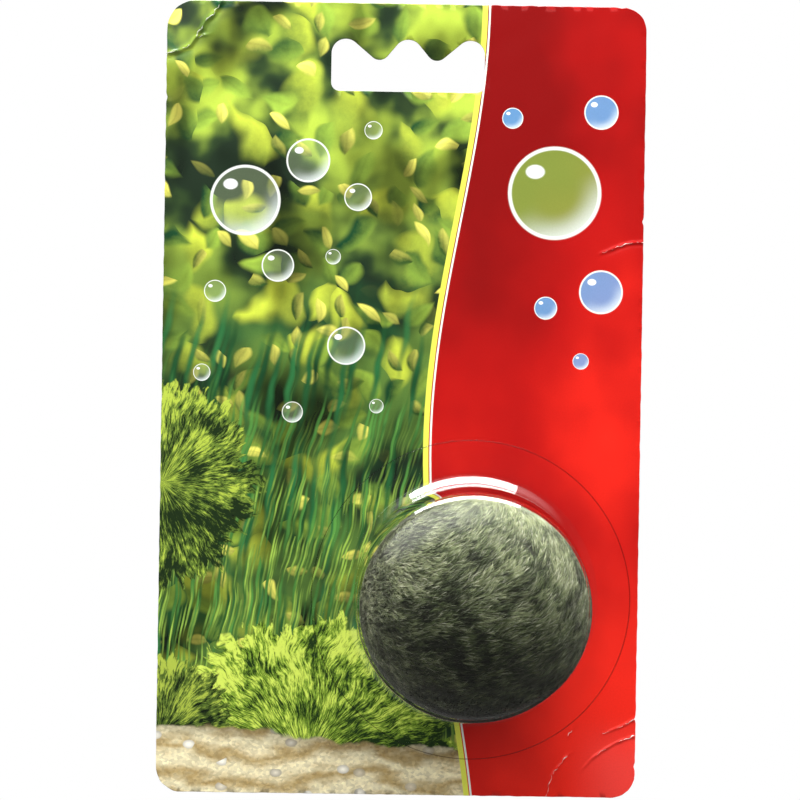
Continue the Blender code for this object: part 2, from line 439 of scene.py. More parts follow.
def build_card(print_mat, board_mat):
    outline, slot = card_outline(), slot_outline()
    bevel = 0.07
    rim = outline - outline_normals(outline) * bevel
    hole = slot + outline_normals(slot) * bevel  # away from the hole
    rng = np.random.default_rng(12)
    # inner points: a jittered grid, finer along the creases
    step = 1.25
    gx, gz = np.meshgrid(np.arange(LEFT, RIGHT, step), np.arange(LOW, HIGH, step))
    grid = np.stack([gx.ravel(), gz.ravel()], axis=1) + rng.uniform(-0.3, 0.3, (gx.size, 2))
    clear = np.ones(len(grid), bool)
    fine = []
    for line, height, half, _ in CREASES:
        dist, _, _ = to_line(grid, line)
        clear &= dist > 1.35
        line = np.asarray(line, float)
        length = np.concatenate([[0], np.cumsum(np.linalg.norm(np.diff(line, axis=0), axis=1))])
        at = np.arange(0, length[-1], 0.35)
        mid = np.stack([np.interp(at, length, line[:, i]) for i in range(2)], axis=1)
        ahead = np.stack([np.interp(at + 0.3, length, line[:, i]) - np.interp(at - 0.3, length, line[:, i]) for i in range(2)], axis=1)
        side = unit(np.stack([-ahead[:, 1], ahead[:, 0]], axis=1))
        for off in (-1.25, -0.85, -0.55, -0.32, -0.15, 0.0, 0.15, 0.32, 0.55, 0.85, 1.25):
            fine.append(mid + side * off + rng.uniform(-0.03, 0.03, mid.shape))
    inner = np.concatenate([grid[clear]] + fine)
    keep = inside(inner, outline) & ~inside(inner, slot)
    inner = inner[keep]
    for line in (outline, slot):
        closed = np.vstack([line, line[:1]])
        inner = inner[to_line(inner, closed)[0] > 0.38]
    points = np.concatenate([rim, hole, inner])
    n, m = len(rim), len(hole)
    edges = [(i, (i + 1) % n) for i in range(n)] + [(n + i, n + (i + 1) % m) for i in range(m)]
    got = geometry.delaunay_2d_cdt([Vector(p) for p in points], edges, [], 0, 1e-5)
    flat = np.array([(v.x, v.y) for v in got[0]])
    source = got[3]
    tris = np.array([f for f in got[2] if len(f) == 3])
    middle = flat[tris].mean(axis=1)
    tris = tris[inside(middle, rim) & ~inside(middle, hole)]
    # which output point each border point became
    place = {}
    for i, came in enumerate(source):
        for s in came:
            place[s] = i
    rim_ids = np.array([place[i] for i in range(n)])
    hole_ids = np.array([place[n + i] for i in range(m)])
    dy = bend(flat)
    count = len(flat)
    front = np.stack([flat[:, 0], CARD_FRONT + dy, flat[:, 1]], axis=1)
    back = np.stack([flat[:, 0], CARD_BACK + dy, flat[:, 1]], axis=1)
    co = [front, back]
    loops, sizes, mats = [], [], []
    # make the front face towards -Y
    a, b, c = flat[tris[:, 0]], flat[tris[:, 1]], flat[tris[:, 2]]
    turn = np.cross(b - a, c - a)
    tris = np.where((turn > 0)[:, None], tris, tris[:, ::-1])  # anticlockwise seen from the front (-Y) with +X right, +Z up
    loops.append(tris.ravel()); sizes.append(np.full(len(tris), 3)); mats.append(np.zeros(len(tris)))
    loops.append((tris[:, ::-1] + count).ravel()); sizes.append(np.full(len(tris), 3)); mats.append(np.ones(len(tris)))
    top = 2 * count
    for line, ids, flip in ((outline, rim_ids, False), (slot, hole_ids, True)):
        k = len(line)
        d = bend(line)
        rough = 0.012 * waves(line, 1.1, 10, 31)
        ring1 = np.stack([line[:, 0], CARD_FRONT + bevel + d + rough, line[:, 1]], axis=1)
        ring2 = np.stack([line[:, 0], CARD_BACK - bevel + d + rough, line[:, 1]], axis=1)
        co += [ring1, ring2]
        rows = [ids, top + np.arange(k), top + k + np.arange(k), ids + count]
        for row, (p, q) in enumerate(zip(rows, rows[1:])):
            quad = np.stack([p, q, np.roll(q, -1), np.roll(p, -1)], axis=1)
            if flip:
                quad = quad[:, ::-1]
            loops.append(quad.ravel()); sizes.append(np.full(k, 4)); mats.append(np.full(k, 0.0 if row == 0 else 1.0))
        top += 2 * k
    mesh = make_mesh("card", np.concatenate(co), np.concatenate(loops), np.concatenate(sizes))
    mesh.polygons.foreach_set("material_index", np.concatenate(mats).astype(np.int32))
    mesh.set_sharp_from_angle(angle=math.radians(40))
    return add_object(mesh, [print_mat, board_mat], "backing_card")


def build_cracks(mat):
    """Torn paper fibres that stand up along the creases: low ridges let into the card's face."""
    rng = np.random.default_rng(77)
    co, loops, sizes, base = [], [], [], 0
    # line, from share, to share, half width, how broken up
    runs = [
        (TL_FOLD, 0.10, 0.36, 0.10, 0.3), (TL_FOLD, 0.40, 0.62, 0.09, 0.5), (TL_FOLD, 0.66, 0.95, 0.08, 0.5),
        (TL_SPUR, 0.1, 0.8, 0.06, 0.6), (RIGHT_FOLD, 0.02, 0.9, 0.07, 0.5), (BR_UPPER, 0.02, 0.36, 0.14, 0.1),
        (BR_UPPER, 0.36, 0.98, 0.04, 0.7), (BR_FOLD, 0.05, 0.30, 0.12, 0.2), (BR_FOLD, 0.32, 0.70, 0.035, 0.9),
        (BR_SHORT, 0.0, 1.0, 0.06, 0.3), (BR_LOW, 0.0, 0.5, 0.08, 0.2), (BR_LOW, 0.5, 0.99, 0.08, 0.4),
    ]
    for line, begin, end, half, broken in runs:
        line = np.asarray(line, float)
        length = np.concatenate([[0], np.cumsum(np.linalg.norm(np.diff(line, axis=0), axis=1))])
        at = np.arange(begin * length[-1], end * length[-1], 0.14)
        if len(at) < 4:
            continue
        mid = np.stack([np.interp(at, length, line[:, i]) for i in range(2)], axis=1)
        ahead = np.stack([np.interp(at + 0.4, length, line[:, i]) - np.interp(at - 0.4, length, line[:, i]) for i in range(2)], axis=1)
        side = unit(np.stack([-ahead[:, 1], ahead[:, 0]], axis=1))
        mid = mid + side * (0.10 * waves(at[:, None], 0.9, 8, int(rng.integers(1e6))))[:, None]
        slow, quick = (waves(at[:, None], size, 9, int(rng.integers(1e6))) for size in (2.4, 0.6))
        wide = half * np.clip(1 - 0.55 * broken + (0.3 + 0.4 * broken) * slow + 0.22 * quick, 0.0, 1.7)
        wide *= np.clip(np.minimum(np.arange(len(at)), len(at) - 1 - np.arange(len(at))) / 4, 0, 1)
        rows = []
        for share, lift in ((-1.0, 0.03), (-0.35, -0.016), (0.4, -0.02), (1.0, 0.03)):
            p = mid + side * (wide * share)[:, None]
            y = CARD_FRONT + bend(p) + np.where(wide > 0.012, lift, 0.04)
            rows.append(np.stack([p[:, 0], y, p[:, 1]], axis=1))
        k = len(at)
        solid = (wide[:-1] > 0.012) | (wide[1:] > 0.012)
        co += rows
        for r in range(3):
            p = base + r * k + np.arange(k - 1)
            quad = np.stack([p, p + 1, p + k + 1, p + k], axis=1)[solid]
            loops.append(quad.ravel()); sizes.append(np.full(len(quad), 4))
        base += 4 * k
    mesh = make_mesh("crease_fibres", np.concatenate(co), np.concatenate(loops), np.concatenate(sizes))
    return add_object(mesh, [mat], "backing_card")


# ---------------------------------------------------------- the clear blister
def blister_profile():
    """The outer profile as (radius, height above the card's face plus 0.3) from the flange's edge to the axis."""
    pts = [(33.35, -0.06), (33.31, -0.02)]
    pts += [(r, 0.0) for r in (33.15, 32.9, 31.5, 30.0, 28.6, 27.4, 26.5)]
    # the turn from the flange into the wall: a quick bend, a long gently rounded slope, a quick bend
    r, h = 25.95, 0.0
    pts.append((r, h))
    slopes = [(10, 0.04), (21, 0.04)] + [(29.5 + 16.5 * i / 11, 1.52 / 12) for i in range(12)] + [(57, 0.04), (69, 0.03), (80, 0.015)]
    for angle, run in slopes:
        r -= run
        h += run * math.tan(math.radians(angle))
        pts.append((r, h))
    base_r, base_h = r, h
    top_h = 44.1
    for t in np.linspace(0, 1, 19)[1:]:
        hh = base_h + (top_h - base_h) * t
        pts.append((base_r - 0.08 * t - 1.27 * t**3, hh))
    wall_end = pts[-1][0]
    bend_r = 2.1
    cr = wall_end - bend_r
    tilt = math.radians(12)
    for a in np.linspace(0, math.pi / 2 - tilt, 17)[1:]:
        pts.append((cr + bend_r * math.cos(a), top_h + bend_r * math.sin(a)))
    er, eh = pts[-1]
    for share in np.linspace(1, 0, 21)[1:]:
        pts.append((er * share, eh + math.tan(tilt) * er / 4 * (1 - share**4)))
    return np.array(pts)


def skin(height):
    """Thickness of the drawn sheet at a height above the flange."""
    return 0.25 - 0.19 * np.clip(height / 40.0, 0, 1) ** 0.8


def build_blister(mat, bonded, cut):
    outer = blister_profile()
    along = np.gradient(outer, axis=0)
    # inner skin: the sheet thins as it is drawn, most at the shoulder
    tangent = unit(along)
    inward = np.stack([-tangent[:, 1], tangent[:, 0]], axis=1)
    probe = outer[20] + inward[20] * 0.25
    if probe[0] > outer[20][0]:
        inward = -inward
    inner = outer + inward * skin(outer[:, 1])[:, None]
    flat = (outer[:, 0] > 26.2)
    inner[flat] = np.stack([outer[flat, 0], np.full(flat.sum(), -0.27)], axis=1)
    inner[0] = (33.35, -0.23)
    inner[1] = (33.31, -0.27)
    near = np.where(~flat)[0][:6]
    inner[near, 1] = np.maximum(inner[near, 1], -0.27)
    inner[-1] = (0.0, outer[-1][1] - skin(outer[-1][1]))
    ring = np.concatenate([outer[:-1][::-1], inner[:-1]])  # pole rings are added apart
    segments = 224
    a = np.linspace(0, 2 * math.pi, segments, endpoint=False)
    rr, hh = ring[:, 0][:, None], ring[:, 1][:, None]
    # Thermoforming leaves the wall and the front very slightly wavy.
    wave = 0.045 * np.cos(3 * a + 0.6) + 0.03 * np.cos(5 * a + 2.0) + 0.012 * np.cos(11 * a + 1.0)
    body = np.clip(ring[:, 1] / 8, 0, 1)[:, None]
    r = rr + body * wave[None, :] * (rr / 24)
    h = hh + body * 0.05 * np.cos(2 * a + 1.1)[None, :] * (rr / 24) + body * 0.02 * np.cos(7 * a)[None, :] * (rr / 24) ** 2
    # the drum leans up and left a little, and its front is a little wider than high
    t = np.clip(h / 44.0, 0, 1)
    x = BLISTER_X - 0.75 * t**2 + r * (1 + 0.028 * t**3) * np.cos(a)
    z = BLISTER_Z + 0.35 * t + r * np.sin(a)
    y = -0.55 - h
    rows, cols = x.shape
    co = np.stack([x.ravel(), y.ravel(), z.ravel()], axis=1)
    follow = np.clip(1 - (-0.55 - co[:, 1]) / 4, 0, 1)
    co[:, 1] += bend(co[:, [0, 2]]) * follow
    poles = np.array([[BLISTER_X - 0.75, -0.55 - top[1], BLISTER_Z + 0.35] for top in (outer[-1], inner[-1])])
    co = np.concatenate([co, poles])
    ids = np.arange(rows * cols).reshape(rows, cols)
    p, q = ids[:-1], ids[1:]
    quads = np.stack([p, np.roll(p, -1, axis=1), np.roll(q, -1, axis=1), q], axis=-1).reshape(-1, 4)
    first, last = ids[0], ids[-1]
    cap1 = np.stack([np.full(cols, rows * cols), np.roll(first, -1), first], axis=1)
    cap2 = np.stack([np.full(cols, rows * cols + 1), last, np.roll(last, -1)], axis=1)
    loops = np.concatenate([quads.ravel(), cap1.ravel(), cap2.ravel()])
    sizes = np.concatenate([np.full(len(quads), 4), np.full(2 * cols, 3)])
    mesh = make_mesh("blister", co, loops, sizes)
    import bmesh
    bm = bmesh.new()
    bm.from_mesh(mesh)
    bmesh.ops.recalc_face_normals(bm, faces=bm.faces)
    bm.to_mesh(mesh)
    bm.free()
    mesh.shade_smooth()
    mesh.set_sharp_from_angle(angle=math.radians(50))
    co = np.zeros(len(mesh.vertices) * 3, np.float32)
    mesh.vertices.foreach_get("co", co)
    co = co.reshape(-1, 3) / MM
    reach = np.hypot(co[:, 0] - BLISTER_X, co[:, 2] - BLISTER_Z)
    which = [
        1 if all(26.3 < reach[i] < 33.17 for i in f.vertices) else 2 if all(reach[i] > 33.05 for i in f.vertices) else 0
        for f in mesh.polygons
    ]
    mesh.polygons.foreach_set("material_index", np.array(which, np.int32))
    return add_object(mesh, [mat, bonded, cut], "clear_blister")


# --------------------------------------------------------------- the moss ball
def dent(n):
    """How much the ball's surface draws in, in mm, in the direction n."""
    return 0.05 * (1 + np.clip(waves(n * 23, 9, 14, 41), -2, 2) / 2)


def flow(n):
    """The way the threads lie, as unit tangents, at unit directions n."""
    r = np.hypot(n[:, 0], n[:, 2])
    rx, rz = n[:, 0] / np.maximum(r, 1e-9), n[:, 2] / np.maximum(r, 1e-9)
    front = n[:, 1] < 0
    reach = np.where(front, r, 1.0)
    x, z = rx * reach, rz * reach
    deg = (22.7 + 35.3 * x + 22.0 * z + 14.4 * x * x + 32.1 * x * z + 30.4 * z * z
           + 25.2 * x**3 + 9.1 * x * x * z + 48.8 * x * z * z - 31.4 * z**3)
    u, v = np.cos(np.radians(deg)), np.sin(np.radians(deg))
    out = u * rx + v * rz
    round_ = -u * rz + v * rx
    c = np.where(front, np.sqrt(np.clip(1 - r * r, 0, 1)), 0).clip(0.35)
    meridian = np.stack([rx * -n[:, 1], r, rz * -n[:, 1]], axis=1)
    around = np.stack([-rz, np.zeros_like(r), rx], axis=1)
    return unit(around * round_[:, None] + meridian * (out / c)[:, None])


def fibonacci(count, rng, jitter):
    i = np.arange(count) + 0.5
    y = 1 - 2 * i / count
    a = i * math.pi * (3 - math.sqrt(5))
    s = np.sqrt(1 - y * y)
    p = np.stack([s * np.cos(a), y, s * np.sin(a)], axis=1)
    return unit(p + rng.normal(size=p.shape) * jitter / math.sqrt(count))


def build_moss(mats):
    rng = np.random.default_rng(5)
    # Tufts: threads whose tips draw together
    tufts = fibonacci(25000, rng, 0.9)
    t_dir = flow(tufts)
    where_ = tufts * BALL_R
    swing = np.radians(8 * waves(where_, 7.0, 18, 51) + 5 * waves(where_, 2.2, 18, 52) + 9 * rng.normal(size=len(tufts)))
    t_side = np.cross(tufts, t_dir)
    t_dir = unit(t_dir * np.cos(swing)[:, None] + t_side * np.sin(swing)[:, None])
    t_side = np.cross(tufts, t_dir)
    curl = np.radians(rng.normal(size=len(tufts)) * 7)
    length = 2.1 * np.exp(0.22 * rng.normal(size=len(tufts)))
    relief = waves(where_, 3.4, 22, 53)
    tip_depth = np.clip(0.05 + 0.13 * relief + 0.12 * rng.normal(size=len(tufts)), -0.10, 0.9)
    # painted light: paler on top and towards the left and right limbs, darker below; the patches are the moss's own
    # uneven tone
    tone = 0.44 + 0.22 * tufts[:, 2] + 0.16 * tufts[:, 0] ** 2 + 0.07 * waves(where_, 6.0, 18, 54) + 0.11 * waves(where_, 2.4, 18, 55) + 0.16 * rng.normal(size=len(tufts))
    tone = np.clip(tone, 0, 1)
    # Hollows where the tufts part, each a short cleft whose threads sink deeper and are darkened with painted shade
    for hx, hz, size, deep in ((0.43, 0.55, 0.055, 1.3), (0.46, 0.49, 0.035, 1.0), (0.90, 0.20, 0.06, 1.1), (0.78, 0.04, 0.05, 1.0), (0.86, 0.10, 0.035, 0.8), (0.30, 0.70, 0.03, 0.4), (-0.35, 0.30, 0.035, 0.4), (-0.2, -0.45, 0.04, 0.4)):
        hn = np.array([hx, -math.sqrt(max(0.0, 1 - hx * hx - hz * hz)), hz])
        gap = np.exp(-(np.linalg.norm(tufts - hn, axis=1) / size) ** 2)
        tip_depth += deep * gap * 0.8
        tone *= 1 - np.clip(deep, 0, 1) * 0.8 * gap
        length *= 1 - 0.35 * gap
    tree = kdtree.KDTree(len(tufts))
    for i, p in enumerate(tufts):
        tree.insert(p, i)
    tree.balance()

    total = 4 * 38000
    root = fibonacci(int(total * 1.32), rng, 1.2)
    # fewer threads on the cap that faces the card
    keep = rng.random(len(root)) < np.clip(1.12 - 0.75 * (root[:, 1] + 0.15), 0.35, 1.0)
    root = root[keep]
    root = root[rng.permutation(len(root))][:total]
    near = np.array([tree.find(p)[1] for p in root])
    base, way, side = tufts[near], t_dir[near], t_side[near]
    off = root - base
    n = len(root)
    long_ = length[near] * np.exp(0.16 * rng.normal(size=n)) / 23.0
    bow = curl[near] + np.radians(rng.normal(size=n) * 7)
    stray = rng.random(n) < 0.05
    depth_root = 1.0 + 0.1 * rng.random(n)
    depth_tip = tip_depth[near] + rng.gamma(1.5, 0.09, n) - 0.04
    depth_tip = np.where(stray, -0.1 + 0.25 * rng.random(n), depth_tip)
    depth_tip = np.clip(depth_tip, -0.12, 0.96)
    pull = np.where(stray, 0.1, 0.66)
    drift = rng.normal(size=(n, 3)) * 0.0045
    drift[stray] *= 3
    stations = np.array([0.0, 0.34, 0.68, 1.0])
    path = []
    for s in stations:
        turn = long_ * s
        head = way * np.cos(bow * s)[:, None] + side * np.sin(bow * s)[:, None]
        q = base * np.cos(turn)[:, None] + head * np.sin(turn)[:, None]
        p = unit(q + off * (1 - pull * s**1.3)[:, None] + drift * s)
        depth = depth_root + (depth_tip - depth_root) * s**0.42
        radius = MOSS_R * (1 - (depth + dent(p))[:, None] / 23.0)
        path.append(BALL + p * radius)
    path = np.stack(path, axis=1)  # n, 4, 3
    forward = unit(np.gradient(path, axis=1))
    outward = unit((path - BALL) / BALL_R**2)
    across = unit(np.cross(forward, outward))
    lift = np.cross(across, forward)
    twist0 = np.radians(rng.normal(size=n) * 34)
    twist1 = twist0 + np.radians(rng.normal(size=n) * 45)
    width = rng.uniform(0.06, 0.12, n)
    width[stray] *= 0.7
    taper = (1.0, 1.0, 0.72)
    corners, facing = [], []
    for i in range(3):
        t = np.clip(twist0 + (twist1 - twist0) * stations[i], -1.3, 1.3)
        w = (across[:, i] * np.cos(t)[:, None] + lift[:, i] * np.sin(t)[:, None]) * (width * taper[i] / 2)[:, None]
        corners += [path[:, i] - w, path[:, i] + w]
        # a thread is round and fuzzy, so it is shaded between its own side and the ball's
        own = lift[:, i] * np.cos(t)[:, None] - across[:, i] * np.sin(t)[:, None]
        facing += [unit(own * 0.55 + outward[:, i] * 0.45)] * 2
    corners.append(path[:, 3])
    facing.append(unit(own * 0.45 + outward[:, 3] * 0.55))
    points = np.stack(corners, axis=1)  # n, 7, 3
    facing = np.stack(facing, axis=1)
    # keep every point short of the plastic and the card
    t = np.clip((-points[..., 1] - 0.55) / 44.0, 0, 1)
    wide = 1 + 0.028 * t**3
    axis_x, axis_z = BLISTER_X - 0.75 * t * t, BLISTER_Z + 0.35 * t
    dx, dz = (points[..., 0] - axis_x) / wide, points[..., 2] - axis_z
    room = 24.25 - 0.08 * t - 1.27 * t**3 - skin(44.0 * t) - 0.06
    squeeze = np.minimum(1, room / np.maximum(np.hypot(dx, dz), 1e-6))
    points[..., 0] = axis_x + dx * wide * squeeze
    points[..., 2] = axis_z + dz * squeeze
    points[..., 1] = np.clip(points[..., 1], -46.6, -0.40)
    tint = rng.random(n)
    # each thread takes its tuft's tone, painted light and shade included; how deep its tip lies later gives painted
    # shade in the thread material
    thread_tone_and_painted_light = tone[near]
    high = 1 - np.clip(depth_tip / 1.0, 0, 1)
    pieces = []
    per = n // 4
    for part in range(4):
        pick = slice(part * per, (part + 1) * per)
        pts = points[pick].reshape(-1, 3)
        k = per
        b = (np.arange(k) * 7)[:, None]
        loops = (b + np.array([0, 1, 3, 2, 2, 3, 5, 4, 4, 5, 6])[None, :]).ravel()
        sizes = np.tile([4, 4, 3], k)
        mesh = make_mesh(f"moss_threads_{part + 1}", pts, loops, sizes)
        normals = mesh.attributes.new("custom_normal", "FLOAT_VECTOR", "POINT")
        normals.data.foreach_set("vector", np.ascontiguousarray(facing[pick], np.float32).ravel())
        # colour drivers: along the thread, per thread, per tuft (its tone with painted light and shade), height of the
        # tip
        data = np.zeros((k, 7, 4), np.float32)
        data[:, :, 0] = np.array([0, 0, 0.34, 0.34, 0.68, 0.68, 1.0])
        data[:, :, 1] = tint[pick][:, None]
        data[:, :, 2] = thread_tone_and_painted_light[pick][:, None]
        data[:, :, 3] = high[pick][:, None]
        attribute = mesh.attributes.new("thread", "FLOAT_COLOR", "POINT")
        attribute.data.foreach_set("color", data.ravel())
        # one small cell of the sheet per thread
        cells = math.ceil(math.sqrt(k))
        cu, cv = (np.arange(k) % cells), (np.arange(k) // cells)
        local = np.array([[0.15, 0.1], [0.85, 0.1], [0.85, 0.4], [0.15, 0.4], [0.15, 0.4], [0.85, 0.4], [0.8, 0.68], [0.2, 0.68], [0.2, 0.68], [0.8, 0.68], [0.5, 0.9]])
        uv = (np.stack([cu, cv], axis=1)[:, None, :] + local[None]) / cells
        layer = mesh.uv_layers.new(name="OFBake")
        layer.uv.foreach_set("vector", uv.astype(np.float32).ravel())
        pieces.append(add_object(mesh, [mats[0]], "moss_ball"))
    # the dense felt under the threads
    rows, cols = 70, 128
    lat = np.linspace(-math.pi / 2, math.pi / 2, rows)
    lon = np.linspace(0, 2 * math.pi, cols, endpoint=False)
    la, lo = np.meshgrid(lat[1:-1], lon, indexing="ij")
    d = np.stack([np.cos(la) * np.cos(lo), np.cos(la) * np.sin(lo), np.sin(la)], axis=-1).reshape(-1, 3)
    d = np.concatenate([d, [[0, 0, -1.0], [0, 0, 1.0]]])
    under = 1.08 + dent(d) + 0.07 * waves(d * 23, 2.2, 18, 61)
    felt = BALL + d * MOSS_R * (1 - under[:, None] / 23.0)
    ids = np.arange((rows - 2) * cols).reshape(rows - 2, cols)
    p, q = ids[:-1], ids[1:]
    quads = np.stack([p, np.roll(p, -1, 1), np.roll(q, -1, 1), q], axis=-1).reshape(-1, 4)
    south, north = (rows - 2) * cols, (rows - 2) * cols + 1
    cap1 = np.stack([np.full(cols, south), np.roll(ids[0], -1), ids[0]], axis=1)
    cap2 = np.stack([np.full(cols, north), ids[-1], np.roll(ids[-1], -1)], axis=1)
    mesh = make_mesh("moss_felt", felt, np.concatenate([quads.ravel(), cap1.ravel(), cap2.ravel()]),
                     np.concatenate([np.full(len(quads), 4), np.full(2 * cols, 3)]))
    pieces.append(add_object(mesh, [mats[1]], "moss_ball"))
    return pieces


# ------------------------------------------------------------------- materials
def moss_materials():
    s = Shader("moss_thread")
    attribute = s.node("ShaderNodeAttribute", attribute_name="thread")
    parts = s.node("ShaderNodeSeparateColor")
    s.link(attribute.outputs["Color"], parts.inputs[0])
    along, tint, tuft_tone_and_painted_light = (Term(s.tree, parts.outputs[i]) for i in range(3))
    high = Term(s.tree, attribute.outputs["Alpha"])
    body = s.mix(tint, (0.014, 0.028, 0.005), (0.160, 0.215, 0.070))
    # the tuft value carries painted light: paler colours on top and at the limbs, darker below and in the clefts
    body = s.mix(tuft_tone_and_painted_light.step(0.42, 0.90) * 0.75, body, (0.375, 0.415, 0.215))
    body = s.scale(body, tuft_tone_and_painted_light.step(0.10, 0.62) * 0.88 + 0.12)
    pale = tint.step(0.80, 1.0)
    body = s.mix(pale * (tuft_tone_and_painted_light.step(0.1, 0.7) * 0.8 + 0.1), body, (0.74, 0.73, 0.57))
    # painted shade: darker towards each thread's root and where its tip lies deep in the pile
    body = s.scale(body, (along * 0.95 + 0.12) * (high * high * 0.9 + 0.25))
    s.set(Base_Color=body, Roughness=0.62, Sheen_Weight=0.35, Sheen_Roughness=0.5, Sheen_Tint=(1.0, 1.0, 0.78), Specular_IOR_Level=0.2)
    f = Shader("moss_felt")
    x, y, z = f.place()
    grain = f.noise(x / 0.8, y / 0.8, z / 0.8, detail=3, rough=0.6)
    f.set(Base_Color=f.mix(grain.step(0.3, 0.7), (0.010, 0.014, 0.006), (0.045, 0.058, 0.026)), Roughness=0.9)
    bump = f.node("ShaderNodeBump")
    bump.inputs["Strength"].default_value = 0.5
    bump.inputs["Distance"].default_value = 0.0003
    f.link(grain, bump.inputs["Height"])
    f.link(bump.outputs[0], f.bsdf.inputs["Normal"])
    return [s.mat, f.mat]


def clear_material(name, ior, roughness, tint=(1.0, 1.0, 1.0)):
    s = Shader(name)
    s.set(Base_Color=tint, Roughness=roughness, IOR=ior, Transmission_Weight=1.0)
    rays = s.node("ShaderNodeLightPath")
    lets = Term(s.tree, rays.outputs["Is Shadow Ray"]).max(Term(s.tree, rays.outputs["Is Diffuse Ray"]))
    through = s.node("ShaderNodeBsdfTransparent")
    through.inputs[0].default_value = (0.99, 0.99, 0.99, 1.0)
    both = s.node("ShaderNodeMixShader")
    s.link(lets, both.inputs[0])
    s.link(s.bsdf.outputs[0], both.inputs[1])
    s.link(through.outputs[0], both.inputs[2])
    s.link(both.outputs[0], s.tree.nodes["Material Output"].inputs[0])
    return s.mat


def board_material():
    s = Shader("bare_board")
    x, y, z = s.place()
    fibre = s.noise(x / 0.5, z / 0.9, y / 0.3, detail=4, rough=0.65)
    mottle = s.noise(x / 9, z / 9, detail=2)
    tone = s.mix(fibre.step(0.3, 0.75), (0.50, 0.50, 0.46), (0.66, 0.66, 0.62))
    tone = s.mix(mottle.step(0.35, 0.7) * 0.35, tone, (0.58, 0.56, 0.50))
    s.set(Base_Color=tone, Roughness=0.8, Specular_IOR_Level=0.3)
    bump = s.node("ShaderNodeBump")
    bump.inputs["Strength"].default_value = 0.25
    bump.inputs["Distance"].default_value = 0.0001
    s.link(fibre, bump.inputs["Height"])
    s.link(bump.outputs[0], s.bsdf.inputs["Normal"])
    return s.mat


def paper_material():
    s = Shader("torn_paper")
    x, y, z = s.place()
    fibre = s.noise(x / 0.12, z / 0.12, detail=3, rough=0.6)
    stain = s.noise(x / 0.6, z / 0.6, detail=2)
    # beside the green print the fibres stay yellowish, beside the red they go pink
    side = x.step(0, 8)
    low = s.mix(side, (0.30, 0.33, 0.16), (0.62, 0.10, 0.07))
    high = s.mix(side, (0.80, 0.82, 0.72), (0.92, 0.78, 0.74))
    s.set(Base_Color=s.mix((fibre * 0.6 + stain * 0.6).step(0.42, 0.68), low, high), Roughness=0.85)
    return s.mat


